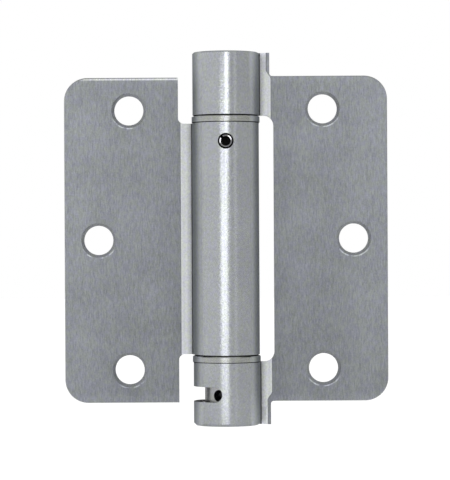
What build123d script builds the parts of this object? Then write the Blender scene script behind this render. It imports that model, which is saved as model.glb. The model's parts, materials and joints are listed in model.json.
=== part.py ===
from build123d import *
from math import acos, asin, atan2, cos, degrees, hypot, radians, sin, tan
import os

# Spring loaded door hinge, shown laid open. The origin is on the hinge axis at mid height, +Z runs up
# the barrel, +X points to the frame leaf and -Y to the side from which the screws go in. Millimetres.

# Leaves
leaf_height = 88.9
leaf_reach = 44.2
leaf_corner_radius = 6.35
sheet = 2.2
leaf_front_y = 0.8
face_edge_radius = 0.35

# Rolled knuckles
knuckle_bore_radius = 6.85
crease_x = 11.05
crease_radius = 5.0
back_bend_radius = 1.2
rolled_flat = 2.15
seam_angle = 10.0
seam_run = 3.1
top_rim_chamfer = 0.4
bottom_rim_chamfer = 0.7

# Barrel heights
barrel_length = 101.6
gap_height = 67.4
washer_thickness = 1.8
hub_height = 0.26
thrust_play = 0.1

# Frame leaf outline
cutout_edge_x = 13.07
cutout_corner_radius = 2.8
neck_edge_x = 12.03
neck_root_radius = 0.75
top_neck_crease_shift = 0.8
bottom_neck_crease_shift = 1.2
crease_slope_length = 2.6
crease_slope_start = 1.0

# Door leaf outline, and how much lower its flat stands than that of the frame leaf
door_leaf_drop = 0.3
notch_edge_x = 13.05
notch_corner_radius = 1.6

# Screw holes
screw_hole_radius = 4.0
countersink_radius = 4.75
countersink_angle = 82.0
outer_screw_x = 26.5
outer_screw_z = 35.45
middle_screw_x = 34.9

# Thrust washers
washer_rim = 0.23
washer_chamfer = 0.2
hub_inset = 0.35
washer_bore_clearance = 0.15

# Roll pin that ties the spring anchor to the door leaf
pin_z = 26.4
pin_radius = 1.92
pin_wall = 0.6
pin_length = 9.0
pin_slit = 0.7
pin_slit_angle = 135.0
pin_chamfer = 0.25
pin_recess = 0.25
pin_hole_clearance = 0.22
pin_press_clearance = 0.02
pin_hole_spare_depth = 0.6

# Spring anchor
plug_clearance = 0.1
plug_below_pin = 5.0
plug_above_gap = 2.4
pintle_radius = 4.5
pintle_end_gap = 0.75
plug_chamfer = 0.4

# Bushes and cap
top_bush_end_gap = 0.3
top_bush_cap_gap = 0.15
cap_thickness = 2.0
cap_recess = 0.35
cap_chamfer = 0.5
lower_sleeve_length = 4.6
bottom_bush_length = 4.4
bottom_bush_recess = 0.2
bush_chamfer = 0.25

# Tension adjuster
spindle_radius = 6.0
running_clearance = 0.05
collar_clearance = 0.15
collar_thickness = 3.0
spindle_end_recess = 0.5
spindle_chamfer = 0.4
tension_hole_radius = 1.6
tension_hole_count = 4
tension_hole_z = -42.6
tension_hole_angle = 21.0
hex_key = 5.0
hex_depth = 5.5

# Slot for the tension pin, its end centres counted from the front of the barrel towards the door leaf
slot_height = 4.1
slot_z = -42.2
slot_start_angle = 21.3
slot_end_angle = 138.0

# Torsion spring
wire = 2.8
coil_mean_radius = 5.0
coil_turns = 11.5
coil_sides = 16
wire_sides = 8
coil_end_clearance = 0.45
tang_bend_radius = 1.6
tang_reach = 2.3
nose_radius = 3.2
nose_length = 5.0
tang_slot_clearance = 0.2

# Sizes that follow from the ones above
knuckle_radius = knuckle_bore_radius + sheet
leaf_back_y = leaf_front_y + sheet
rolled_flat_end_x = crease_x + rolled_flat
crease_distance = hypot(crease_x, leaf_front_y)
web_angle = degrees(atan2(leaf_front_y, crease_x) + acos(knuckle_bore_radius / crease_distance))
lean = radians(90 - web_angle)
bend_start_x = crease_x + crease_radius * tan(lean / 2)
half_leaf = leaf_height / 2
half_barrel = barrel_length / 2
half_gap = gap_height / 2
half_door_knuckle = half_gap - washer_thickness - hub_height - thrust_play
washer_radius = knuckle_radius + washer_rim
hub_radius = knuckle_radius - hub_inset
plug_radius = knuckle_bore_radius - plug_clearance
plug_bottom_z = pin_z - plug_below_pin
plug_top_z = half_gap + plug_above_gap
pin_front_y = pin_recess - knuckle_radius
top_bush_z = plug_top_z + top_bush_end_gap
cap_z = half_barrel - cap_recess - cap_thickness
top_bush_length = cap_z - top_bush_cap_gap - top_bush_z
pintle_end_z = cap_z - pintle_end_gap
collar_bottom_z = washer_thickness + hub_height - half_gap
collar_top_z = collar_bottom_z + collar_thickness
spindle_end_z = spindle_end_recess - half_barrel
bottom_bush_z = bottom_bush_recess - half_barrel
spindle_bore_radius = spindle_radius + running_clearance
coil_bottom_z = collar_top_z + coil_end_clearance + wire / 2
coil_height = plug_bottom_z - coil_end_clearance - wire / 2 - coil_bottom_z
coil_step = 360 / coil_sides
coil_corner_radius = coil_mean_radius / cos(radians(coil_step / 2))
coil_corner_count = round(coil_turns * coil_sides)
coil_rise = coil_height / coil_corner_count
tang_slot = wire + 2 * tang_slot_clearance
tang_lead = degrees(asin(tang_bend_radius / (coil_mean_radius - tang_bend_radius)))
tang_start_radius = (coil_mean_radius - tang_bend_radius) * cos(radians(tang_lead))
lower_tang_angle = tang_lead
upper_tang_angle = -360 * coil_turns - tang_lead
beyond = 2 * knuckle_radius


def polar(radius, angle):
    """Point in the XY plane at a radius from the hinge axis and an angle from +X in degrees."""
    return radius * cos(radians(angle)), radius * sin(radians(angle))


def along_seam(start):
    """Point at the end of the straight run that closes the knuckle, from its start on the bore or outside."""
    return start[0] + seam_run * sin(radians(seam_angle)), start[1] + seam_run * cos(radians(seam_angle))


def web_point(x, depth=0):
    """Point at x on the front of the straight web, or that far behind it."""
    return x, leaf_front_y + (crease_x - x) * tan(lean) + depth


def chord_point(x):
    """Point at x on the chord under the rounded bend between the leaf and its web."""
    return x, leaf_front_y + (bend_start_x - x) * tan(lean / 2)


def facing(angle):
    """Plane through the hinge axis that looks outward, turned from the front towards the door leaf."""
    turn = radians(angle)
    return Plane((0, 0, 0), x_dir=(cos(turn), -sin(turn), 0), z_dir=(-sin(turn), -cos(turn), 0))


def wider_than(edges, radius):
    """Those of the round edges whose radius is greater."""
    return edges.filter_by(GeomType.CIRCLE).filter_by(lambda edge: edge.radius > radius)


# The section across the rolled sheet, seen from above: a little of the flat leaf, the crease, the
# straight web that leans back to the bore, and the knuckle rolled from the back round to the seam.
inner_start = polar(knuckle_bore_radius, web_angle)
inner_end = polar(knuckle_bore_radius, -seam_angle)
outer_start = polar(knuckle_radius, web_angle)
outer_end = polar(knuckle_radius, -seam_angle)
outer_tip = along_seam(outer_end)
back_bend_x = (knuckle_radius - leaf_back_y * sin(radians(web_angle))) / cos(radians(web_angle))

with BuildSketch() as rolled_section:
    with BuildLine():
        Polyline((rolled_flat_end_x, leaf_front_y), (crease_x, leaf_front_y), inner_start)
        ThreePointArc(inner_start, (-knuckle_bore_radius, 0), inner_end)
        Polyline(inner_end, along_seam(inner_end), outer_tip, outer_end)
        ThreePointArc(outer_end, (-knuckle_radius, 0), outer_start)
        Polyline(outer_start, (back_bend_x, leaf_back_y), (rolled_flat_end_x, leaf_back_y))
        Line((rolled_flat_end_x, leaf_back_y), (rolled_flat_end_x, leaf_front_y))
    make_face()
    fillet(rolled_section.vertices().sort_by_distance((crease_x, leaf_front_y))[0], crease_radius)
    fillet(rolled_section.vertices().sort_by_distance((back_bend_x, leaf_back_y))[0], back_bend_radius)

# The flat of a leaf outside its crease, stamped with three countersunk screw holes and a softened front
# edge. Both leaves have the same one, drawn here on the side of the frame leaf.
with BuildPart() as leaf_flat:
    with BuildSketch(Plane.XZ.offset(-leaf_front_y)):
        with Locations((rolled_flat_end_x, 0)):
            Rectangle(leaf_reach - rolled_flat_end_x, leaf_height, align=(Align.MIN, Align.CENTER))
    extrude(amount=-sheet)
    fillet(leaf_flat.edges().filter_by(Axis.Y).group_by(Axis.X)[-1], leaf_corner_radius)
    front_edges = leaf_flat.faces().sort_by(Axis.Y)[0].edges()
    fillet(front_edges - front_edges.group_by(Axis.X)[0], face_edge_radius)
    with Locations(Plane.XZ.offset(-leaf_front_y)):
        with Locations((outer_screw_x, outer_screw_z), (middle_screw_x, 0), (outer_screw_x, -outer_screw_z)):
            CounterSinkHole(screw_hole_radius, countersink_radius, counter_sink_angle=countersink_angle)

# Frame leaf: its two knuckles stand at the ends of the barrel, joined to the leaf by webs that run on
# past the leaf as narrow necks. The outer rims are chamfered before the outline is cut. The lower
# knuckle has the slot for the tension pin.
with BuildPart() as frame_leaf:
    with BuildSketch(Plane.XY.offset(-half_barrel)):
        add(rolled_section.sketch)
    extrude(amount=barrel_length)
    rims = wider_than(frame_leaf.edges(), knuckle_bore_radius + sheet / 2).group_by(Axis.Z)
    chamfer(rims[0], bottom_rim_chamfer)
    chamfer(rims[-1], top_rim_chamfer)
    with BuildSketch(Plane.XZ) as frame_outline:
        with Locations((-beyond, 0)):
            Rectangle(beyond + leaf_reach, leaf_height, align=(Align.MIN, Align.CENTER))
            Rectangle(beyond + neck_edge_x, barrel_length, align=(Align.MIN, Align.CENTER))
        neck_roots = [(neck_edge_x, half_leaf, 0), (neck_edge_x, -half_leaf, 0)]
        fillet([frame_outline.vertices().sort_by_distance(root)[0] for root in neck_roots], neck_root_radius)
    extrude(amount=beyond, both=True, mode=Mode.INTERSECT)
    with BuildSketch(Plane.XZ) as cutout:
        with Locations((-beyond, 0)):
            Rectangle(beyond + cutout_edge_x, gap_height, align=(Align.MIN, Align.CENTER))
        fillet(cutout.vertices().group_by(Axis.X)[-1], cutout_corner_radius)
    extrude(amount=beyond, both=True, mode=Mode.SUBTRACT)

    # The crease of each neck lies nearer to the barrel than the crease of the leaf. The front is filled
    # out to the plane of the leaf by a short slope at the root and a level strip to the barrel's end.
    for end, shift in ((1, top_neck_crease_shift), (-1, bottom_neck_crease_shift)):
        neck_crease_x = neck_edge_x - shift
        slope_z = end * (half_leaf - crease_slope_start)
        level_z = slope_z + end * crease_slope_length
        behind = [web_point(outer_tip[0], sheet / 4), (neck_edge_x, leaf_front_y + sheet / 2)]
        flush = [chord_point(neck_edge_x), chord_point(neck_crease_x), web_point(outer_tip[0])]
        raised = [(neck_edge_x, leaf_front_y), (neck_crease_x, leaf_front_y), web_point(outer_tip[0])]
        with BuildSketch(Plane.XY.offset(slope_z)):
            Polygon(*flush, *behind, align=None)
        with BuildSketch(Plane.XY.offset(level_z)):
            Polygon(*raised, *behind, align=None)
        loft(ruled=True)
        with BuildSketch(Plane.XY.offset(level_z)):
            Polygon(*raised, *behind, align=None)
        extrude(amount=end * beyond)
    with BuildSketch(Plane.XY.offset(-half_barrel)):
        Circle(2 * leaf_reach)
    extrude(amount=barrel_length, mode=Mode.INTERSECT)
    add(leaf_flat.part)

    # The slot runs level round the door side of the knuckle, with a half round at each end.
    start = facing(slot_start_angle)
    with BuildSketch(Plane((0, 0, 0), x_dir=start.z_dir, z_dir=-start.x_dir)):
        with Locations((knuckle_radius, slot_z)):
            Rectangle(3 * sheet, slot_height)
    revolve(axis=Axis.Z, revolution_arc=slot_start_angle - slot_end_angle, mode=Mode.SUBTRACT)
    for angle in (slot_start_angle, slot_end_angle):
        with BuildSketch(facing(angle)):
            with Locations((0, slot_z)):
                Circle(slot_height / 2)
        extrude(amount=beyond, mode=Mode.SUBTRACT)
frame_leaf.part.label = "frame_leaf"

# Door leaf: one long knuckle between those of the frame leaf, and a notch above and below it. It is
# drawn on the side of the frame leaf and mirrored, and then gets the hole for the roll pin.
with BuildPart() as door_leaf:
    with BuildSketch(Plane.XY.offset(-half_leaf - door_leaf_drop)):
        add(rolled_section.sketch)
    extrude(amount=leaf_height)
    with BuildSketch(Plane.XZ) as door_outline:
        with Locations((-beyond, 0)):
            Rectangle(beyond + leaf_reach, 2 * half_door_knuckle, align=(Align.MIN, Align.CENTER))
        with Locations((notch_edge_x, -door_leaf_drop)):
            Rectangle(leaf_reach, leaf_height, align=(Align.MIN, Align.CENTER))
        notch_roots = [(notch_edge_x, half_door_knuckle, 0), (notch_edge_x, -half_door_knuckle, 0)]
        corners = [door_outline.vertices().sort_by_distance(root)[0] for root in notch_roots]
        fillet(corners, notch_corner_radius)
    extrude(amount=beyond, both=True, mode=Mode.INTERSECT)
    with Locations((0, 0, -door_leaf_drop)):
        add(leaf_flat.part)
    mirror(about=Plane.YZ, mode=Mode.REPLACE)
    with BuildSketch(Plane.XZ):
        with Locations((0, pin_z)):
            Circle(pin_radius + pin_hole_clearance)
    extrude(amount=beyond, mode=Mode.SUBTRACT)
door_leaf.part.label = "door_leaf"

# Upper thrust washer: a turned ring on the door knuckle. The low hub on it carries the upper frame
# knuckle and leaves a narrow groove below that knuckle.
with BuildPart() as upper_washer:
    with BuildSketch(Plane.XY.offset(half_door_knuckle)):
        Circle(washer_radius)
    extrude(amount=washer_thickness)
    chamfer(upper_washer.edges(), washer_chamfer)
    with BuildSketch(Plane.XY.offset(half_door_knuckle)):
        Circle(hub_radius)
    extrude(amount=washer_thickness + hub_height)
    with BuildSketch(Plane.XY.offset(half_door_knuckle)):
        Circle(plug_radius + washer_bore_clearance)
    extrude(amount=beyond, mode=Mode.SUBTRACT)
upper_washer.part.label = "upper_washer"

# Lower bush: a flanged ring on the lower frame knuckle, with the same low hub. Its sleeve is pressed
# into the knuckle and carries the spindle.
with BuildPart() as lower_bush:
    with BuildSketch(Plane.XY.offset(-half_gap)):
        Circle(washer_radius)
    extrude(amount=washer_thickness)
    chamfer(lower_bush.edges().filter_by(GeomType.CIRCLE), washer_chamfer)
    with BuildSketch(Plane.XY.offset(-half_gap)):
        Circle(hub_radius)
    extrude(amount=washer_thickness + hub_height)
    with BuildSketch(Plane.XY.offset(-half_gap)):
        Circle(knuckle_bore_radius)
    extrude(amount=-lower_sleeve_length)
    chamfer(lower_bush.edges().sort_by(Axis.Z)[0], bush_chamfer)
    with BuildSketch(Plane.XY.offset(-half_gap)):
        Circle(spindle_bore_radius)
    extrude(amount=beyond, both=True, mode=Mode.SUBTRACT)
lower_bush.part.label = "lower_bush"

# Bottom bush: a plain ring pressed into the mouth of the barrel round the end of the spindle
with BuildPart() as bottom_bush:
    with BuildSketch(Plane.XY.offset(bottom_bush_z)):
        Circle(knuckle_bore_radius)
        Circle(spindle_bore_radius, mode=Mode.SUBTRACT)
    extrude(amount=bottom_bush_length)
    chamfer(bottom_bush.edges().group_by(Axis.Z)[0].sort_by(SortBy.RADIUS)[-1], bush_chamfer)
bottom_bush.part.label = "bottom_bush"

# Top bush: the sleeve in the upper frame knuckle in which the pintle of the spring anchor turns
with BuildPart() as top_bush:
    with BuildSketch(Plane.XY.offset(top_bush_z)):
        Circle(knuckle_bore_radius)
        Circle(pintle_radius + running_clearance, mode=Mode.SUBTRACT)
    extrude(amount=top_bush_length)
    chamfer(top_bush.edges().group_by(Axis.Z)[0].sort_by(SortBy.RADIUS)[-1], bush_chamfer)
top_bush.part.label = "top_bush"

# Top cap: a disc pressed into the upper end of the barrel
with BuildPart() as top_cap:
    with BuildSketch(Plane.XY.offset(cap_z)):
        Circle(knuckle_bore_radius)
    extrude(amount=cap_thickness)
    chamfer(top_cap.edges().sort_by(Axis.Z)[-1], cap_chamfer)
top_cap.part.label = "top_cap"

# Spring anchor: a plug pinned in the door knuckle. The slotted nose under it holds the upper tang of the
# spring, and the pintle above it turns in the top bush.
with BuildPart() as spring_anchor:
    with BuildSketch(Plane.XZ):
        with BuildLine():
            Polyline(
                (0, plug_bottom_z - nose_length),
                (nose_radius, plug_bottom_z - nose_length),
                (nose_radius, plug_bottom_z),
                (plug_radius, plug_bottom_z),
                (plug_radius, plug_top_z),
                (pintle_radius, plug_top_z),
                (pintle_radius, pintle_end_z),
                (0, pintle_end_z),
                close=True,
            )
        make_face()
    revolve(axis=Axis.Z)
    chamfer(spring_anchor.edges().sort_by(Axis.Z)[-1], plug_chamfer)
    with BuildSketch(Plane.XY.offset(plug_bottom_z)):
        Rectangle(beyond, tang_slot, rotation=upper_tang_angle)
    extrude(amount=-nose_length, mode=Mode.SUBTRACT)
    with BuildSketch(Plane.XZ.offset(-pin_front_y)):
        with Locations((0, pin_z)):
            Circle(pin_radius + pin_press_clearance)
    extrude(amount=-pin_length - pin_hole_spare_depth, mode=Mode.SUBTRACT)
spring_anchor.part.label = "spring_anchor"

# Roll pin: spring steel strip rolled into a slit tube, with its ends chamfered
with BuildPart() as roll_pin:
    with BuildSketch(Plane.XZ.offset(-pin_front_y)):
        with Locations((0, pin_z)):
            Circle(pin_radius)
            Circle(pin_radius - pin_wall, mode=Mode.SUBTRACT)
            with Locations(Rotation(0, 0, pin_slit_angle)):
                Rectangle(beyond, pin_slit, align=(Align.MIN, Align.CENTER), mode=Mode.SUBTRACT)
    extrude(amount=-pin_length)
    chamfer(wider_than(roll_pin.edges(), pin_radius - pin_wall / 2), pin_chamfer)
roll_pin.part.label = "roll_pin"

# Tension adjuster: a turned spindle that runs in the two lower bushes. Its collar sits on the lower bush,
# its slotted nose holds the lower tang, and its end takes a hex key. The tension pin is put through the
# slot of the barrel into one of its radial holes.
with BuildPart() as tension_adjuster:
    with BuildSketch(Plane.XZ):
        with BuildLine():
            Polyline(
                (0, spindle_end_z),
                (spindle_radius, spindle_end_z),
                (spindle_radius, collar_bottom_z),
                (knuckle_bore_radius - collar_clearance, collar_bottom_z),
                (knuckle_bore_radius - collar_clearance, collar_top_z),
                (nose_radius, collar_top_z),
                (nose_radius, collar_top_z + nose_length),
                (0, collar_top_z + nose_length),
                close=True,
            )
        make_face()
    revolve(axis=Axis.Z)
    chamfer(tension_adjuster.edges().sort_by(Axis.Z)[0], spindle_chamfer)
    with BuildSketch(Plane.XY.offset(collar_top_z)):
        Rectangle(beyond, tang_slot, rotation=lower_tang_angle)
    extrude(amount=nose_length, mode=Mode.SUBTRACT)
    with BuildSketch(Plane.XY.offset(spindle_end_z)):
        RegularPolygon(hex_key / 2, 6, major_radius=False)
    extrude(amount=hex_depth, mode=Mode.SUBTRACT)
    for hole in range(tension_hole_count):
        with BuildSketch(facing(tension_hole_angle + 360 * hole / tension_hole_count)):
            with Locations((0, tension_hole_z)):
                Circle(tension_hole_radius)
        extrude(amount=beyond, mode=Mode.SUBTRACT)
tension_adjuster.part.label = "tension_adjuster"

# Torsion spring: a left hand coil of round wire, each end bent inward into a tang that crosses the axis.
# To keep the mesh small its turns are short straight runs and its wire has flats.
with BuildPart() as torsion_spring:
    with BuildLine() as coil:
        corners = [
            (*polar(coil_corner_radius, -coil_step * step), coil_bottom_z + coil_rise * step)
            for step in [corner + 0.5 for corner in range(coil_corner_count)]
        ]
        coil_start = (*polar(coil_mean_radius, 0), coil_bottom_z)
        coil_end = (*polar(coil_mean_radius, -360 * coil_turns), coil_bottom_z + coil_height)
        Polyline(coil_start, *corners, coil_end)
    with BuildSketch(Plane(origin=coil.line @ 0, x_dir=(1, 0, 0), z_dir=coil.line % 0)):
        RegularPolygon(wire / 2, wire_sides, major_radius=False)
    sweep(path=coil.line, transition=Transition.RIGHT)
    for end, heading in ((coil.line @ 0, -(coil.line % 0)), (coil.line @ 1, coil.line % 1)):
        inward = Vector(-end.X, -end.Y, 0).normalized()
        with BuildLine(Plane(origin=end, x_dir=heading, z_dir=heading.cross(inward))) as tang:
            bend = JernArc((0, 0), (1, 0), tang_bend_radius, 90 + tang_lead)
            PolarLine(bend @ 1, tang_reach + tang_start_radius, direction=bend % 1)
        with BuildSketch(Plane(origin=end, x_dir=inward, z_dir=heading)):
            RegularPolygon(wire / 2, wire_sides, major_radius=False)
        sweep(path=tang.line)
torsion_spring.part.label = "torsion_spring"

os.makedirs("parts", exist_ok=True)
pieces = [
    frame_leaf,
    lower_bush,
    bottom_bush,
    top_bush,
    top_cap,
    door_leaf,
    upper_washer,
    spring_anchor,
    roll_pin,
    torsion_spring,
    tension_adjuster,
]
for piece in pieces:
    export_step(piece.part, f"parts/{piece.part.label}.step")
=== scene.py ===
"""Spring loaded door hinge, laid open: the finish of its pieces, the wound spring and the studio."""

import json
import math

import bpy
import numpy as np
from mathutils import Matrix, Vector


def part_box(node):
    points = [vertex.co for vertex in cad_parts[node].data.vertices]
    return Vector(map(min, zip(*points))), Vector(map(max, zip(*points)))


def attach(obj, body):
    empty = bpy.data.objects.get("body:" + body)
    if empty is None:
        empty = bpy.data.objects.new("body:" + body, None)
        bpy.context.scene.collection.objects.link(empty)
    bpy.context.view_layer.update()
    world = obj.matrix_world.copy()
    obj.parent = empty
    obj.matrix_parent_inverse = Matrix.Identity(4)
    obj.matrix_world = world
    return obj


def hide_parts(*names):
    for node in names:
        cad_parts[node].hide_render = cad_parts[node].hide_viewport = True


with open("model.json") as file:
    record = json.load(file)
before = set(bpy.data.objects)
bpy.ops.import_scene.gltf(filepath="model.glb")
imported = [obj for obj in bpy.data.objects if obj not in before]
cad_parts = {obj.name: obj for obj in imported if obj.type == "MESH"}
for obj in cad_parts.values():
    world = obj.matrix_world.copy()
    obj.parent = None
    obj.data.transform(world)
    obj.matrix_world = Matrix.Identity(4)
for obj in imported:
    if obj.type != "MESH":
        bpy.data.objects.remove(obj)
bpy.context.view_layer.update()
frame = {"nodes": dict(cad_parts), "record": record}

# Camera
# A long lens looks straight at the open leaves from the side of the screw heads, level with the middle
# of the barrel. The picture leans a third of a degree, as it does in the photograph.
CAMERA_DISTANCE = 0.680
CAMERA_FOCAL_PIXELS = 2489
PICTURE_WIDTH_PIXELS = 450
SENSOR_WIDTH_MM = 36.0
NEAREST_SEEN = 0.05
FURTHEST_SEEN = 20.0
CAMERA_X = -0.00033
CAMERA_Z = -0.00036
PICTURE_LEAN = math.radians(0.30)

camera_data = bpy.data.cameras.new("camera")
camera_data.sensor_fit = "HORIZONTAL"
camera_data.sensor_width = SENSOR_WIDTH_MM
camera_data.lens = CAMERA_FOCAL_PIXELS / PICTURE_WIDTH_PIXELS * SENSOR_WIDTH_MM
camera_data.clip_start = NEAREST_SEEN
camera_data.clip_end = FURTHEST_SEEN
camera = bpy.data.objects.new("camera", camera_data)
camera.location = (CAMERA_X, -CAMERA_DISTANCE, CAMERA_Z)
camera.rotation_euler = (math.pi / 2, PICTURE_LEAN, 0.0)
bpy.context.scene.collection.objects.link(camera)
bpy.context.scene.camera = camera


# Leaves with their rolled knuckles
# Each leaf is stamped from one satin chromed steel sheet and rolled at one edge into its knuckles. The
# flats keep an upright brushing, the knuckles come smoother out of the roll, and the bend beside them has
# a painted highlight. The stamped edges and countersinks show fresher metal.

# Marks of the metal finish to the metre, and how far each moves the tone
HAIRS_TO_A_LINE = 4.0
CLOUDS_PER_METRE = 95.0
PITS_PER_METRE = 2400.0
TINTS_PER_METRE = 800.0
LINE_DETAIL = 2.0
CLOUD_DETAIL = 3.0
LINE_SWING = 0.75
HAIR_SWING = 0.30
CLOUD_SWING = 0.34
PIT_SWING = 0.42
TINT_SWING = 3.2
HAIR_GLOSS_SWING = 0.16
WARM_TINT = (1.010, 1.020, 0.950)
COOL_TINT = (0.990, 0.975, 1.060)
RELIEF = 0.000012
EDGE_REFLECTION = (0.45, 0.45, 0.45, 1.0)


def node_group(name, inputs, outputs):
    """An empty shader group with the named sockets, its input node and its output node."""
    group = bpy.data.node_groups.new(name, "ShaderNodeTree")
    for socket, kind, value in inputs:
        group.interface.new_socket(socket, in_out="INPUT", socket_type=kind).default_value = value
    for socket, kind in outputs:
        group.interface.new_socket(socket, in_out="OUTPUT", socket_type=kind)
    return group, group.nodes.new("NodeGroupInput"), group.nodes.new("NodeGroupOutput")


def fed(tree, socket, value):
    """Links a socket into the input, or sets the input to a number, a triple or a colour."""
    if isinstance(value, bpy.types.NodeSocket):
        tree.links.new(value, socket)
    elif isinstance(value, tuple) and socket.type == "RGBA":
        socket.default_value = (*value, 1.0)
    elif value is not None:
        socket.default_value = value


def maths(tree, operation, first, second=None):
    """One scalar operation on sockets or numbers."""
    node = tree.nodes.new("ShaderNodeMath")
    node.operation = operation
    fed(tree, node.inputs[0], first)
    fed(tree, node.inputs[1], second)
    return node.outputs["Value"]


def vectors(tree, operation, first, second=None):
    """One vector operation on sockets or triples."""
    node = tree.nodes.new("ShaderNodeVectorMath")
    node.operation = operation
    fed(tree, node.inputs[0], first)
    fed(tree, node.inputs[1], second)
    return node.outputs["Value" if operation in ("LENGTH", "DOT_PRODUCT") else "Vector"]


def noise(tree, place, per_metre, detail=1.0):
    """Cloudy noise around one half, with so many clouds to the metre."""
    node = tree.nodes.new("ShaderNodeTexNoise")
    node.inputs["Scale"].default_value = per_metre
    node.inputs["Detail"].default_value = detail
    tree.links.new(place, node.inputs["Vector"])
    return node.outputs["Fac"]


def swing(tree, value, amount):
    """The noise value moved to zero in its middle and multiplied by the amount."""
    return maths(tree, "MULTIPLY", maths(tree, "SUBTRACT", value, 0.5), amount)


def mixed(tree, factor, first, second, kind="RGBA"):
    """First where the factor is zero and second where it is one, as colours or as numbers."""
    node = tree.nodes.new("ShaderNodeMix")
    node.data_type = kind
    sockets = [socket for socket in node.inputs if socket.enabled]
    fed(tree, sockets[0], factor)
    fed(tree, sockets[-2], first)
    fed(tree, sockets[-1], second)
    return [socket for socket in node.outputs if socket.enabled][0]


def metal_finish_group():
    """Worked metal: a tinted tone times one plus the swings of its lines, hairs, clouds and pits."""
    group, given, out = node_group(
        "metal_finish",
        [
            ("Place", "NodeSocketVector", (0.0, 0.0, 0.0)),
            ("Tone", "NodeSocketColor", (0.5, 0.5, 0.5, 1.0)),
            ("Gloss", "NodeSocketFloat", 0.4),
            ("Contrast", "NodeSocketFloat", 1.0),
            ("Lines", "NodeSocketVector", (1000.0, 1000.0, 1000.0)),
        ],
        [
            ("Colour", "NodeSocketColor"),
            ("Roughness", "NodeSocketFloat"),
            ("Height", "NodeSocketFloat"),
        ],
    )
    place, contrast = given.outputs["Place"], given.outputs["Contrast"]
    along_lines = vectors(group, "MULTIPLY", place, given.outputs["Lines"])
    lines = noise(group, along_lines, 1.0, LINE_DETAIL)
    hairs = noise(group, along_lines, HAIRS_TO_A_LINE)
    clouds = noise(group, place, CLOUDS_PER_METRE, CLOUD_DETAIL)
    pits = noise(group, place, PITS_PER_METRE)
    grain = maths(group, "ADD", swing(group, lines, LINE_SWING), swing(group, hairs, HAIR_SWING))
    shade = maths(group, "ADD", grain, swing(group, clouds, CLOUD_SWING))
    shade = maths(group, "ADD", shade, swing(group, pits, PIT_SWING))
    shade = maths(group, "ADD", maths(group, "MULTIPLY", shade, contrast), 1.0)
    tint = maths(group, "ADD", swing(group, noise(group, place, TINTS_PER_METRE), TINT_SWING), 0.5)
    tinted = vectors(group, "MULTIPLY", given.outputs["Tone"], mixed(group, tint, WARM_TINT, COOL_TINT))
    group.links.new(vectors(group, "MULTIPLY", tinted, shade), out.inputs["Colour"])
    rough = maths(group, "ADD", given.outputs["Gloss"], swing(group, hairs, HAIR_GLOSS_SWING))
    group.links.new(rough, out.inputs["Roughness"])
    group.links.new(maths(group, "ADD", grain, pits), out.inputs["Height"])
    return group


metal_finish = metal_finish_group()


def object_place(tree):
    """The Object coordinates, which turn with the piece."""
    return tree.nodes.new("ShaderNodeTexCoord").outputs["Object"]


def built(tree, value):
    """The socket that a function builds in the tree, or the plain value itself."""
    return value(tree) if callable(value) else value


def metal(name, tone, gloss, contrast, lines, metallic=1.0, place=object_place):
    """A material of worked metal. All but the name are values or functions that build a socket."""
    material = bpy.data.materials.new(name)
    material.use_nodes = True
    tree = material.node_tree
    shader = tree.nodes["Principled BSDF"]
    finish = tree.nodes.new("ShaderNodeGroup")
    finish.node_tree = metal_finish
    given = (("Place", place), ("Lines", lines), ("Tone", tone), ("Gloss", gloss), ("Contrast", contrast))
    for socket, value in given:
        fed(tree, finish.inputs[socket], built(tree, value))
    fed(tree, shader.inputs["Metallic"], built(tree, metallic))
    tree.links.new(finish.outputs["Colour"], shader.inputs["Base Color"])
    tree.links.new(finish.outputs["Roughness"], shader.inputs["Roughness"])
    shader.inputs["Specular Tint"].default_value = EDGE_REFLECTION
    bump = tree.nodes.new("ShaderNodeBump")
    bump.inputs["Distance"].default_value = RELIEF
    tree.links.new(finish.outputs["Height"], bump.inputs["Height"])
    tree.links.new(bump.outputs["Normal"], shader.inputs["Normal"])
    return material


def split(tree, vector):
    """The three components of a vector."""
    node = tree.nodes.new("ShaderNodeSeparateXYZ")
    tree.links.new(vector, node.inputs["Vector"])
    return node.outputs["X"], node.outputs["Y"], node.outputs["Z"]


def ramp(tree, value, low, high):
    """Zero up to the low value and one from the high value, smooth between."""
    node = tree.nodes.new("ShaderNodeMapRange")
    node.interpolation_type = "SMOOTHSTEP"
    node.inputs["From Min"].default_value = low
    node.inputs["From Max"].default_value = high
    tree.links.new(value, node.inputs["Value"])
    return node.outputs["Result"]


# Borders between the zones of a finish
ZONE_BLUR = 0.00001
SOFT_ZONE_BLUR = 0.00003


def step(tree, value, edge, blur=ZONE_BLUR):
    """Zero below the edge and one above it."""
    return ramp(tree, value, edge - blur, edge + blur)


def unless(tree, mask):
    """One where the mask is zero."""
    return maths(tree, "SUBTRACT", 1.0, mask)


def where_all(tree, *masks):
    """One where every mask is one: their product."""
    product = masks[0]
    for mask in masks[1:]:
        product = maths(tree, "MULTIPLY", product, mask)
    return product


def off_axis(tree, place):
    """Distance from the hinge axis."""
    return vectors(tree, "LENGTH", vectors(tree, "MULTIPLY", place, (1.0, 1.0, 0.0)))


# The knuckle ends a little outside its own radius, where the web begins
ROLLED_WITHIN = 0.00960


def outside_barrel(tree):
    """One on the web and the flat, zero on the rolled knuckle."""
    return step(tree, off_axis(tree, object_place(tree)), ROLLED_WITHIN, SOFT_ZONE_BLUR)
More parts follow.
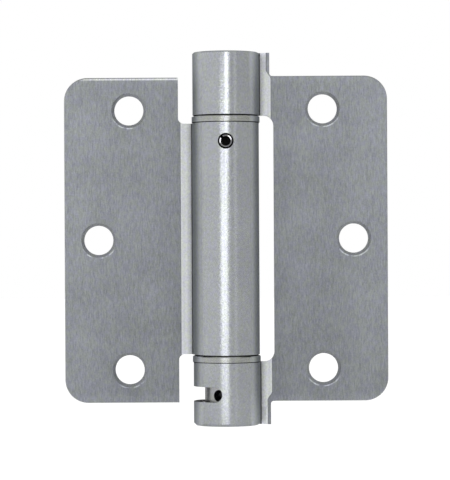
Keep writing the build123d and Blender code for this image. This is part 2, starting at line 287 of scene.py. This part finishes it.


# Painted highlight on the bend at the front of the web, narrower on the necks, and lower on the bottom
# one
BEND_WITHIN = 0.01232
BEND_NARROWS_BY = 0.00125
BEND_NARROWS_FROM = 0.0436
BEND_NARROWS_TO = 0.0462
BEND_LOWER_BY = 0.0019
BEND_DEPTH = 0.00003
BEND_INNER_FROM = 0.0108
BEND_INNER_TO = 0.0118
BEND_INNER_HIGHLIGHT_TONE = (0.780, 0.806, 0.810)
BEND_HIGHLIGHT_TONE = (0.600, 0.620, 0.624)
BEND_GLOSS = 0.55
BEND_METALLIC = 0.10
BEND_CONTRAST = 0.55
BEND_GRAIN = (2200.0, 2200.0, 1800.0)

mounts = {mount["name"]: mount for mount in frame["record"]["mounts"]}
leaf_back = mounts["frame_back"]["pos_m"][1]


def bend_limit(tree, height):
    """How far out the painted highlight on the bend reaches: less on the necks at the barrel's ends."""
    upper = ramp(tree, height, BEND_NARROWS_FROM, BEND_NARROWS_TO)
    lower = maths(tree, "MULTIPLY", height, -1.0)
    lower = ramp(tree, lower, BEND_NARROWS_FROM - BEND_LOWER_BY, BEND_NARROWS_TO - BEND_LOWER_BY)
    narrowed = maths(tree, "MULTIPLY", maths(tree, "ADD", upper, lower), BEND_NARROWS_BY)
    return maths(tree, "SUBTRACT", BEND_WITHIN, narrowed)


def ahead_of_back(tree, depth, clearance):
    """One in front of the leaf's back by more than the clearance."""
    return unless(tree, step(tree, depth, leaf_back - clearance))


def on_bend_highlight(tree):
    """One on the front of the web between the knuckle and the flat, where a highlight is painted."""
    sideways, depth, height = split(tree, object_place(tree))
    beyond = maths(tree, "SUBTRACT", maths(tree, "ABSOLUTE", sideways), bend_limit(tree, height))
    inside = unless(tree, step(tree, beyond, 0.0))
    return where_all(tree, inside, ahead_of_back(tree, depth, BEND_DEPTH), outside_barrel(tree))


def bend_highlight_tone(tree):
    """Painted highlight, palest beside the knuckle."""
    sideways = maths(tree, "ABSOLUTE", split(tree, object_place(tree))[0])
    return mixed(tree, ramp(tree, sideways, BEND_INNER_FROM, BEND_INNER_TO), BEND_INNER_HIGHLIGHT_TONE, BEND_HIGHLIGHT_TONE)


# Stamped edges and countersinks, told by how far they turn from the front and the back
FLAT_FACING = 0.97
FLAT_FACING_BLUR = 0.02
EDGE_TONE = (0.285, 0.296, 0.307)


def on_edge(tree):
    """One where the surface is turned away from the front and the back of the leaf."""
    normal = tree.nodes.new("ShaderNodeTexCoord").outputs["Normal"]
    facing = maths(tree, "ABSOLUTE", split(tree, normal)[1])
    return unless(tree, step(tree, facing, FLAT_FACING, FLAT_FACING_BLUR))


# Rolled knuckles, dulled at their sides, with a painted reflection on their sides, painted shade at their
# brink and painted shade inside
BARREL_TONE = (0.281, 0.294, 0.303)
BARREL_FRONT_GLOSS = 0.20
BARREL_SIDE_GLOSS = 0.62
BARREL_SIDE_FROM = 0.0061
BARREL_SIDE_TO = 0.0071
BARREL_SIDE_REFLECTION_TONE = (0.430, 0.450, 0.460)
BARREL_BRINK_FROM = 0.0069
BARREL_BRINK_TO = 0.0090
BARREL_BRINK_SHADE_TONE = (0.245, 0.262, 0.274)
BARREL_CONTRAST = 0.6
BARREL_GRAIN = (2300.0, 2300.0, 1500.0)
BORE_SHADE_WITHIN = 0.00895
BORE_SHADE_BELOW = 0.0470
BORE_SHADE_TONE = (0.045, 0.045, 0.046)


def in_bore_shade(tree):
    """One in the bore, in the slot's walls and on the knuckle ends that run on a ring, where shade is
    painted.
    """
    place = object_place(tree)
    within = unless(tree, step(tree, off_axis(tree, place), BORE_SHADE_WITHIN))
    below = unless(tree, step(tree, maths(tree, "ABSOLUTE", split(tree, place)[2]), BORE_SHADE_BELOW))
    return where_all(tree, within, below)


def at_side(tree, low=BARREL_SIDE_FROM, high=BARREL_SIDE_TO):
    """Zero on the front and the back of the knuckle and one on its sides."""
    return ramp(tree, maths(tree, "ABSOLUTE", split(tree, object_place(tree))[0]), low, high)


def sided_painted_light_tone(tree, tone):
    """The tone with a painted reflection, paler at the dulled sides of the barrel, and painted shade,
    darker again at their brink.
    """
    paler = mixed(tree, at_side(tree), tone, BARREL_SIDE_REFLECTION_TONE)
    return mixed(tree, at_side(tree, BARREL_BRINK_FROM, BARREL_BRINK_TO), paler, BARREL_BRINK_SHADE_TONE)


def sided_gloss(tree, front_gloss):
    """Smoother at the front of the barrel than at its sides."""
    return mixed(tree, at_side(tree), front_gloss, BARREL_SIDE_GLOSS, "FLOAT")


def barrel_tone(tree):
    """The knuckle's tone with its painted side reflection and shade, and painted shade inside it."""
    return mixed(tree, in_bore_shade(tree), sided_painted_light_tone(tree, BARREL_TONE), BORE_SHADE_TONE)


def barrel_gloss(tree):
    """The knuckle's gloss."""
    return sided_gloss(tree, BARREL_FRONT_GLOSS)


# Painted shade in the crease between the knuckle and the web
CREASE_FROM = 0.00912
CREASE_TO = 0.00966
CREASE_OFF_BACK = 0.0005
CREASE_SHADE_TONE = (0.125, 0.130, 0.135)


def in_crease_shade(tree):
    """One down in the crease between the knuckle and the web, at the front only, where shade is painted.
    """
    place = object_place(tree)
    away = off_axis(tree, place)
    above, below = step(tree, away, CREASE_FROM), unless(tree, step(tree, away, CREASE_TO))
    return where_all(tree, above, below, ahead_of_back(tree, split(tree, place)[1], CREASE_OFF_BACK))


# Painted highlight in a band along the upper edge of the door leaf, from its corner to the notch
TOP_BAND = 0.00080
TOP_BAND_FADE = 0.0002
TOP_BAND_STARTS = -0.0440
TOP_BAND_FULL = -0.0360
TOP_BAND_ENDS = -0.0126
TOP_BAND_HIGHLIGHT_TONE = (0.420, 0.430, 0.440)

band_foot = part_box("door_leaf")[1][2] - TOP_BAND


def on_top_highlight_band(tree):
    """One along the door leaf's upper edge, where a highlight is painted."""
    sideways, depth, height = split(tree, object_place(tree))
    near_top = ramp(tree, height, band_foot, band_foot + TOP_BAND_FADE)
    from_corner = ramp(tree, sideways, TOP_BAND_STARTS, TOP_BAND_FULL)
    before_notch = unless(tree, step(tree, sideways, TOP_BAND_ENDS))
    return where_all(tree, near_top, from_corner, before_notch, ahead_of_back(tree, depth, BEND_DEPTH))


# Painted highlight on the lower rim of the screw holes, which lie in three rows with the middle one
# furthest out
MIDDLE_HOLE_X = 0.0349
RIM_RADIUS = 0.0049
RIM_WIDTH = 0.00032
RIM_BELOW = -0.0028
RIM_FADE = 0.0008
RIM_BREAKS_PER_METRE = 650.0
RIM_BROKEN_UP_TO = 0.35
RIM_WHOLE_FROM = 0.60

outer_hole_x, _, frame_leaf_z = mounts["frame_screws"]["pos_m"]
door_leaf_lower_by = frame_leaf_z - mounts["door_screws"]["pos_m"][2]
hole_pitch = mounts["frame_screws"]["dims"]["spacing_y_mm"] / 1000.0 / 2.0
hole_stagger = MIDDLE_HOLE_X - outer_hole_x


def painted_rim_highlight(tree):
    """One along the lower rim of each countersink, where a bright, broken highlight is painted.

    The height over the pitch, rounded, is the hole's row, which gives its middle. The rim lies where the
    distance from that middle is its radius.
    """
    place = object_place(tree)
    sideways, _, height = split(tree, place)
    on_door_leaf = unless(tree, step(tree, sideways, 0.0))
    height = maths(tree, "ADD", height, maths(tree, "MULTIPLY", on_door_leaf, door_leaf_lower_by))
    row = maths(tree, "ROUND", maths(tree, "DIVIDE", height, hole_pitch))
    up = maths(tree, "SUBTRACT", height, maths(tree, "MULTIPLY", row, hole_pitch))
    stagger = maths(tree, "MULTIPLY", maths(tree, "ABSOLUTE", row), hole_stagger)
    hole_x = maths(tree, "SUBTRACT", MIDDLE_HOLE_X, stagger)
    across = maths(tree, "SUBTRACT", maths(tree, "ABSOLUTE", sideways), hole_x)
    squares = maths(tree, "ADD", maths(tree, "MULTIPLY", up, up), maths(tree, "MULTIPLY", across, across))
    off_rim = maths(tree, "SUBTRACT", maths(tree, "SQRT", squares), RIM_RADIUS)
    rim = unless(tree, ramp(tree, maths(tree, "ABSOLUTE", off_rim), 0.0, RIM_WIDTH))
    lower = unless(tree, ramp(tree, up, RIM_BELOW - RIM_FADE, RIM_BELOW + RIM_FADE))
    broken = ramp(tree, noise(tree, place, RIM_BREAKS_PER_METRE), RIM_BROKEN_UP_TO, RIM_WHOLE_FROM)
    return where_all(tree, rim, lower, broken)


# Brushed flats, and how far their tone rises towards the edges and ends, falls as painted shade beside
# the barrel, rises as painted light towards the top and as a painted highlight on the hole rims
FLAT_TONE = (0.157, 0.166, 0.176)
FLAT_GLOSS = 0.44
FLAT_CONTRAST = 1.0
BRUSHING = (3300.0, 3300.0, 620.0)
PALE_FROM_X = 0.0280
PALE_TO_X = 0.0440
PALE_SIDE = 0.12
PALE_FROM_Z = 0.0415
PALE_TO_Z = 0.0445
PALE_END = 0.12
INNER_SHADE_FROM_X = 0.0120
INNER_SHADE_TO_X = 0.0220
INNER_SHADE = -0.10
PAINTED_LIGHT_PER_METRE_UP = 1.4
RIM_HIGHLIGHT_LIFT = 1.15


def flat_tone(tree):
    """The flat's tone times one plus the changes over the leaf, some of them painted shade and light, and
    a painted highlight on the upper edge.
    """
    sideways, _, height = split(tree, object_place(tree))
    aside, off_middle = maths(tree, "ABSOLUTE", sideways), maths(tree, "ABSOLUTE", height)
    changes = (
        (ramp(tree, aside, PALE_FROM_X, PALE_TO_X), PALE_SIDE),
        (ramp(tree, off_middle, PALE_FROM_Z, PALE_TO_Z), PALE_END),
        (unless(tree, ramp(tree, aside, INNER_SHADE_FROM_X, INNER_SHADE_TO_X)), INNER_SHADE),
        (height, PAINTED_LIGHT_PER_METRE_UP),
        (painted_rim_highlight(tree), RIM_HIGHLIGHT_LIFT),
    )
    level = 1.0
    for where, amount in changes:
        level = maths(tree, "ADD", level, maths(tree, "MULTIPLY", where, amount))
    return mixed(tree, on_top_highlight_band(tree), vectors(tree, "MULTIPLY", FLAT_TONE, level), TOP_BAND_HIGHLIGHT_TONE)


def by_zone(flat, edge, barrel, bend, crease, kind="FLOAT"):
    """A function that builds the socket with one value for each zone of the leaf."""

    def build(tree):
        outside = mixed(tree, on_edge(tree), built(tree, flat), edge, kind)
        outside = mixed(tree, on_bend_highlight(tree), outside, built(tree, bend), kind)
        whole = mixed(tree, outside_barrel(tree), built(tree, barrel), outside, kind)
        return mixed(tree, in_crease_shade(tree), whole, crease, kind)

    return build


def dress(material, *names):
    """Gives each CAD node its finish."""
    for name in names:
        for slot in frame["nodes"][name].material_slots:
            slot.material = material


satin_sheet = metal(
    "satin_sheet",
    tone=by_zone(flat_tone, EDGE_TONE, barrel_tone, bend_highlight_tone, CREASE_SHADE_TONE, "RGBA"),
    gloss=by_zone(FLAT_GLOSS, FLAT_GLOSS, barrel_gloss, BEND_GLOSS, FLAT_GLOSS),
    contrast=by_zone(FLAT_CONTRAST, FLAT_CONTRAST, BARREL_CONTRAST, BEND_CONTRAST, FLAT_CONTRAST),
    lines=by_zone(BRUSHING, BRUSHING, BARREL_GRAIN, BEND_GRAIN, BRUSHING, "RGBA"),
    metallic=by_zone(1.0, 1.0, 1.0, BEND_METALLIC, 1.0),
)
dress(satin_sheet, "frame_leaf", "door_leaf")


# Bushes, cap and tension adjuster
# These are turned from bright bar on a lathe, so their fine lines run round the axis. The bushes and the
# cap are pressed into the knuckles, and the adjuster turns in the two lower bushes.
TURNED_TONE = (0.300, 0.305, 0.295)
TURNED_GLOSS = 0.30
TURNED_CONTRAST = 0.7
TURNING = (300.0, 300.0, 5200.0)

turned_steel = metal("turned_steel", TURNED_TONE, TURNED_GLOSS, TURNED_CONTRAST, TURNING)
dress(turned_steel, "bottom_bush", "top_bush", "top_cap", "tension_adjuster")


# Thrust washer and the flanged bush below
# Turned like the other rings. The low hub on each carries the next knuckle, and the groove round it and
# the joints either side carry painted shade. Their sides carry the barrel's painted reflection and shade.
RING_TONE = (0.262, 0.270, 0.258)
RING_GLOSS = 0.22
JOINT_SHADE_TONE = (0.012, 0.012, 0.012)
HUB_WITHIN = 0.00885
JOINT_HALF_WIDTH = 0.00022

washer_low, washer_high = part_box("upper_washer")
upper_joint = washer_low[2]
lower_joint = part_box("lower_bush")[1][2] - (washer_high[2] - washer_low[2])


def ring_tone(tree):
    """Painted shade on the hub, inside and along either joint, and elsewhere the ring's own tone with the
    barrel's painted side reflection and shade.
    """
    place = object_place(tree)
    height = split(tree, place)[2]
    clear = step(tree, off_axis(tree, place), HUB_WITHIN, SOFT_ZONE_BLUR)
    for joint in (upper_joint, lower_joint):
        away = maths(tree, "ABSOLUTE", maths(tree, "SUBTRACT", height, joint))
        clear = where_all(tree, clear, step(tree, away, JOINT_HALF_WIDTH, SOFT_ZONE_BLUR))
    return mixed(tree, clear, JOINT_SHADE_TONE, sided_painted_light_tone(tree, RING_TONE))


def ring_gloss(tree):
    """The ring's gloss."""
    return sided_gloss(tree, RING_GLOSS)


ring_steel = metal("ring_steel", ring_tone, ring_gloss, TURNED_CONTRAST, TURNING)
dress(ring_steel, "upper_washer", "lower_bush")


# Torsion spring
# Hard drawn wire wound left handed, each end bent inward into a tang that crosses the axis and lies in a
# slotted nose. Oil keeps it dark.
WIRE_TONE = (0.095, 0.095, 0.100)
WIRE_GLOSS = 0.34
WIRE_CONTRAST = 1.0
WIRE_DRAWING = (60.0, 5000.0, 1.0)
WIRE_RADIUS = 0.0014
COIL_RADIUS = 0.0050
COIL_TURNS = 11.5
TANG_BEND_RADIUS = 0.0016
TANG_PAST_AXIS = 0.0023
POINTS_PER_TURN = 72
POINTS_PER_BEND = 16
POINTS_PER_TANG = 6
POINTS_ROUND_WIRE = 18

# The solid coil's box reaches past the centre line of its end turns by the wire and the dip of the bend
COIL_END_INSET = 0.001704


def spring_path(bottom, top):
    """Centre line of the wire as an array of points from the tip of the lower tang to that of the upper.

    On the coil the angle falls evenly with the height, at a fixed radius. At each end the heading turns
    inward on an arc until it points at the axis, and runs straight on past it.
    """
    turned = np.linspace(0.0, 1.0, int(COIL_TURNS * POINTS_PER_TURN) + 1)
    angle = -2.0 * np.pi * COIL_TURNS * turned
    height = bottom + (top - bottom) * turned
    coil = np.stack([COIL_RADIUS * np.cos(angle), COIL_RADIUS * np.sin(angle), height], axis=1)
    lead = math.asin(TANG_BEND_RADIUS / (COIL_RADIUS - TANG_BEND_RADIUS))
    straight = (COIL_RADIUS - TANG_BEND_RADIUS) * math.cos(lead) + TANG_PAST_AXIS
    ends = []
    for end, before in ((coil[0], coil[1]), (coil[-1], coil[-2])):
        heading = (end - before) / np.linalg.norm(end - before)
        inward = np.array([-end[0], -end[1], 0.0]) / COIL_RADIUS
        bend = np.linspace(0.0, math.pi / 2.0 + lead, POINTS_PER_BEND + 1)[1:, None]
        arc = end + TANG_BEND_RADIUS * (np.sin(bend) * heading + (1.0 - np.cos(bend)) * inward)
        away = np.cos(bend[-1]) * heading + np.sin(bend[-1]) * inward
        run = arc[-1] + np.linspace(0.0, straight, POINTS_PER_TANG + 1)[1:, None] * away
        ends.append(np.concatenate([arc, run]))
    return np.concatenate([ends[0][::-1], coil, ends[1]])


def round_wire(name, path, radius, sides):
    """Closed tube of round section along a path that is nowhere upright, with a UV map in metres.

    Each ring lies across the path: its point is the centre, plus the sideways vector times the cosine,
    plus the upward vector times the sine, both times the radius. Each end is closed on a middle point.
    """
    ahead = np.gradient(path, axis=0)
    ahead /= np.linalg.norm(ahead, axis=1, keepdims=True)
    sideways = np.cross(ahead, (0.0, 0.0, 1.0))
    sideways /= np.linalg.norm(sideways, axis=1, keepdims=True)
    upward = np.cross(sideways, ahead)
    turn = 2.0 * np.pi * np.arange(sides) / sides
    rings = (
        path[:, None, :]
        + radius * np.cos(turn)[None, :, None] * sideways[:, None, :]
        + radius * np.sin(turn)[None, :, None] * upward[:, None, :]
    )
    points = np.concatenate([rings.reshape(-1, 3), path[:1], path[-1:]])
    ring, side = np.meshgrid(np.arange(len(path) - 1), np.arange(sides), indexing="ij")
    near, beside = ring * sides + side, ring * sides + (side + 1) % sides
    walls = np.stack([near, near + sides, beside + sides, beside], axis=-1).reshape(-1, 4)
    first, last = len(path) * sides, len(path) * sides + 1
    around, after = np.arange(sides), (np.arange(sides) + 1) % sides
    rim = (len(path) - 1) * sides
    start_cap = np.stack([np.full(sides, first), around, after], axis=1)
    end_cap = np.stack([np.full(sides, last), rim + after, rim + around], axis=1)
    mesh = bpy.data.meshes.new(name)
    mesh.from_pydata(points.tolist(), [], walls.tolist() + start_cap.tolist() + end_cap.tolist())
    mesh.shade_smooth()

    along = np.concatenate([[0.0], np.cumsum(np.linalg.norm(np.diff(path, axis=0), axis=1))])
    across = radius * 2.0 * np.pi * np.arange(sides + 1) / sides
    corner_ring = np.stack([ring, ring + 1, ring + 1, ring], axis=-1).reshape(-1)
    corner_side = np.stack([side, side, side + 1, side + 1], axis=-1).reshape(-1)
    wall_uv = np.stack([along[corner_ring], across[corner_side]], axis=1)
    cap_uv = np.zeros((start_cap.size + end_cap.size, 2))
    uv = mesh.uv_layers.new(name="along_wire")
    uv.data.foreach_set("uv", np.concatenate([wall_uv, cap_uv]).ravel())
    piece = bpy.data.objects.new(name, mesh)
    bpy.context.scene.collection.objects.link(piece)
    return piece


def wire_place(tree):
    """The UV map of the wire, in metres along it and round it."""
    node = tree.nodes.new("ShaderNodeUVMap")
    node.uv_map = "along_wire"
    return node.outputs["UV"]


spring_low, spring_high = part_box("torsion_spring")
spring_line = spring_path(spring_low[2] + COIL_END_INSET, spring_high[2] - COIL_END_INSET)
wound_spring = round_wire("wound_spring", spring_line, WIRE_RADIUS, POINTS_ROUND_WIRE)
spring_wire = metal("spring_wire", WIRE_TONE, WIRE_GLOSS, WIRE_CONTRAST, WIRE_DRAWING, place=wire_place)
wound_spring.data.materials.append(spring_wire)
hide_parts("torsion_spring")
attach(wound_spring, "door")


# Spring anchor
# A turned plug, near black all over as painted shade for the deep roll pin bore. Only its end shows, at
# the bottom of the roll pin.
ANCHOR_SHADE_TONE = (0.016, 0.016, 0.017)
ANCHOR_GLOSS = 0.50
ANCHOR_CONTRAST = 1.0

blackened_steel = metal("blackened_steel", ANCHOR_SHADE_TONE, ANCHOR_GLOSS, ANCHOR_CONTRAST, TURNING)
dress(blackened_steel, "spring_anchor")


# Roll pin
# A strip of spring steel rolled into a slit tube. Its chamfered end carries two painted highlights, and
# its bore is black with painted shade.
PIN_TONE = (0.060, 0.060, 0.062)
PIN_HIGHLIGHT_TONE = (0.400, 0.400, 0.410)
PIN_HIGHLIGHT_TOWARDS = ((-0.99, 0.0, 0.12), (0.77, 0.0, 0.64))
PIN_HIGHLIGHT_FROM = 0.80
PIN_HIGHLIGHT_TO = 1.00
PIN_BORE_SHADE_TONE = (0.010, 0.010, 0.010)
PIN_BORE_RADIUS = 0.00134
PIN_GLOSS = 0.24
PIN_CONTRAST = 0.8
PIN_LINES = (900.0, 300.0, 900.0)

pin_low, pin_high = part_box("roll_pin")
pin_middle = (0.0, 0.0, (pin_low[2] + pin_high[2]) / 2.0)


def pin_tone(tree):
    """Painted shade inside the bore, dark on the wall and its end, and painted highlights along two arcs
    of the end.
    """
    from_middle = vectors(tree, "SUBTRACT", object_place(tree), pin_middle)
    from_axis = vectors(tree, "MULTIPLY", from_middle, (1.0, 0.0, 1.0))
    outside_bore = step(tree, vectors(tree, "LENGTH", from_axis), PIN_BORE_RADIUS)
    direction = vectors(tree, "NORMALIZE", from_axis)
    painted_highlight = 0.0
    for towards in PIN_HIGHLIGHT_TOWARDS:
        facing = vectors(tree, "DOT_PRODUCT", direction, towards)
        painted_highlight = maths(tree, "ADD", painted_highlight, ramp(tree, facing, PIN_HIGHLIGHT_FROM, PIN_HIGHLIGHT_TO))
    return mixed(tree, outside_bore, PIN_BORE_SHADE_TONE, mixed(tree, painted_highlight, PIN_TONE, PIN_HIGHLIGHT_TONE))


pin_steel = metal("pin_steel", pin_tone, PIN_GLOSS, PIN_CONTRAST, PIN_LINES)
dress(pin_steel, "roll_pin")


# Studio
# A pale floor a hand's breadth below the hinge, a white surround and soft lamps: four near the camera for
# the bright line on the barrel, which lies a little further right on the end knuckles than on the middle
# one, a broad faint lamp to the left and a narrow one to the right.
FLOOR_Z = -0.110
FLOOR_HALF_WIDTH = 4.0
FLOOR_TONE = (0.92, 0.92, 0.92, 1.0)
FLOOR_ROUGHNESS = 0.9
FLOOR_GLOW = 0.14
WHITE = (1.0, 1.0, 1.0, 1.0)
SURROUND_STRENGTH = 1.0

floor_corners = [
    (x * FLOOR_HALF_WIDTH, y * FLOOR_HALF_WIDTH, FLOOR_Z) for x, y in ((-1, -1), (1, -1), (1, 1), (-1, 1))
]
floor_mesh = bpy.data.meshes.new("floor")
floor_mesh.from_pydata(floor_corners, [], [(0, 1, 2, 3)])
floor = bpy.data.objects.new("floor", floor_mesh)
bpy.context.scene.collection.objects.link(floor)
floor_paint = bpy.data.materials.new("pale_floor")
floor_paint.use_nodes = True
floor_tree = floor_paint.node_tree
floor_shader = floor_tree.nodes["Principled BSDF"]
floor_shader.inputs["Roughness"].default_value = FLOOR_ROUGHNESS
floor_shader.inputs["Base Color"].default_value = FLOOR_TONE
floor_shader.inputs["Emission Color"].default_value = WHITE
rays = floor_tree.nodes.new("ShaderNodeLightPath").outputs
seen = maths(floor_tree, "MAXIMUM", rays["Is Camera Ray"], rays["Is Glossy Ray"])
seen = maths(floor_tree, "MAXIMUM", seen, rays["Is Transmission Ray"])
glow = maths(floor_tree, "MULTIPLY", seen, FLOOR_GLOW)
floor_tree.links.new(glow, floor_shader.inputs["Emission Strength"])
floor_mesh.materials.append(floor_paint)

world = bpy.data.worlds.new("studio")
bpy.context.scene.world = world
world.use_nodes = True
surround = world.node_tree.nodes["Background"]
surround.inputs["Color"].default_value = WHITE
surround.inputs["Strength"].default_value = SURROUND_STRENGTH


def lamp(name, azimuth, elevation, width, height, watts, distance=1.0):
    """A soft rectangular lamp that faces the hinge, its azimuth counted from the camera to the right."""
    data = bpy.data.lights.new(name, "AREA")
    data.shape = "RECTANGLE"
    data.size, data.size_y, data.energy = width, height, watts
    turned, raised = math.radians(azimuth), math.radians(elevation)
    light = bpy.data.objects.new(name, data)
    light.location = (
        distance * math.cos(raised) * math.sin(turned),
        -distance * math.cos(raised) * math.cos(turned),
        distance * math.sin(raised),
    )
    light.rotation_euler = (math.pi / 2 - raised, 0.0, turned)
    light.visible_camera = False
    bpy.context.scene.collection.objects.link(light)


lamp("line_lamp", azimuth=-4.4, elevation=-0.4, width=0.29, height=0.157, watts=0.41)
lamp("upper_lamp", azimuth=4.2, elevation=9.6, width=0.21, height=0.188, watts=0.58)
lamp("lower_lamp", azimuth=2.6, elevation=-8.2, width=0.23, height=0.115, watts=0.28)
lamp("middle_lamp", azimuth=-15.3, elevation=0.0, width=0.155, height=0.17, watts=0.23)
lamp("left_lamp", azimuth=-58.0, elevation=8.0, width=1.4, height=0.9, watts=1.60)
lamp("right_lamp", azimuth=33.0, elevation=5.0, width=0.05, height=0.8, watts=0.14)

bpy.context.scene.view_settings.view_transform = "Standard"
